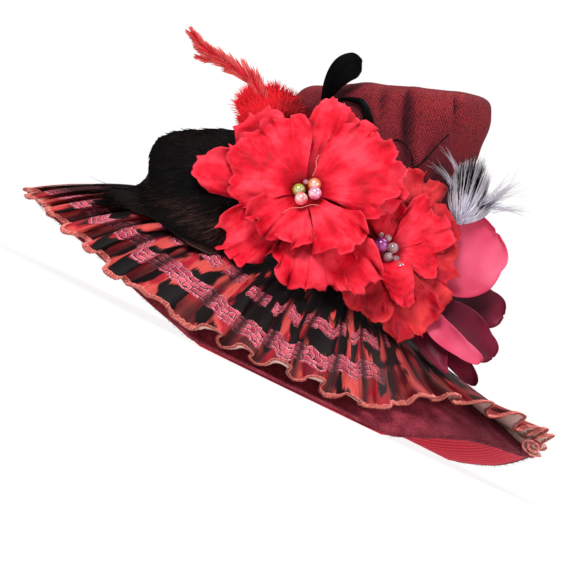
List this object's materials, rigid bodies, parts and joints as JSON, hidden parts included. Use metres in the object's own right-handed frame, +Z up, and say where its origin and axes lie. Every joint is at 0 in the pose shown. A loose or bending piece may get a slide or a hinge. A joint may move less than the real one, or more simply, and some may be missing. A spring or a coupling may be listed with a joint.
{
  "type": "floppy hat",
  "caption": "Hollow cloth crown on a wide drooping felt brim with a ribbed lining and a pleated ruffle, trimmed with silk flowers, beads and feathers.",
  "frame": {"origin": "middle of the hat's outline in plan, on the floor plane that the brim's edge rests on", "axes": "+Z up, -X the front of the hat, +X its back, and the flowers on the -Y side"},
  "size_m": [0.4399, 0.3685, 0.2632],
  "materials": {
    "crown_net": "ribbed net cloth, matt",
    "felt": "brushed wool felt, matt, fuzzy at the edge",
    "lining": "ribbed cloth, soft sheen",
    "print_cloth": "pleated printed cloth in coral, black and pink scales, overlocked hem",
    "red_silk": "crinkled silk, soft sheen",
    "pink_satin": "satin, smooth sheen",
    "wine_satin": "satin, smooth sheen",
    "black_feather": "glossy black-brown feather barbs",
    "red_feather": "red hackle barbs",
    "grey_feather": "downy grey barbs with black tips",
    "pearl_bead": "iridescent pearl",
    "clear_bead": "clear faceted glass with an iridescent coat"
  },
  "bodies": {
    "root": {"crown": "crown_net", "brim": "felt", "brim_lining": "lining", "ruffle": "print_cloth", "flower_a_outer": "red_silk", "flower_a_inner": "red_silk", "flower_b_outer": "red_silk", "flower_b_inner": "red_silk", "satin_hub": "wine_satin", "satin_petal_1": "pink_satin", "satin_petal_2": "wine_satin", "satin_petal_3": "pink_satin", "satin_petal_4": "wine_satin", "satin_petal_5": "wine_satin", "satin_petal_6": "wine_satin", "feather_pad": "black_feather", "red_hackle_pad": "red_feather", "red_plume": "red_feather", "black_quill_1": "black_feather", "black_quill_2": "black_feather", "grey_marabou": "grey_feather", "bead_a_1": "pearl_bead", "bead_a_2": "pearl_bead", "bead_a_3": "pearl_bead", "bead_a_4": "pearl_bead", "bead_a_5": "clear_bead", "bead_b_1": "pearl_bead", "bead_b_2": "clear_bead", "bead_b_3": "clear_bead", "bead_b_4": "clear_bead", "bead_b_5": "clear_bead", "bead_b_6": "clear_bead", "bead_b_7": "clear_bead"}
  },
  "joints": []
}
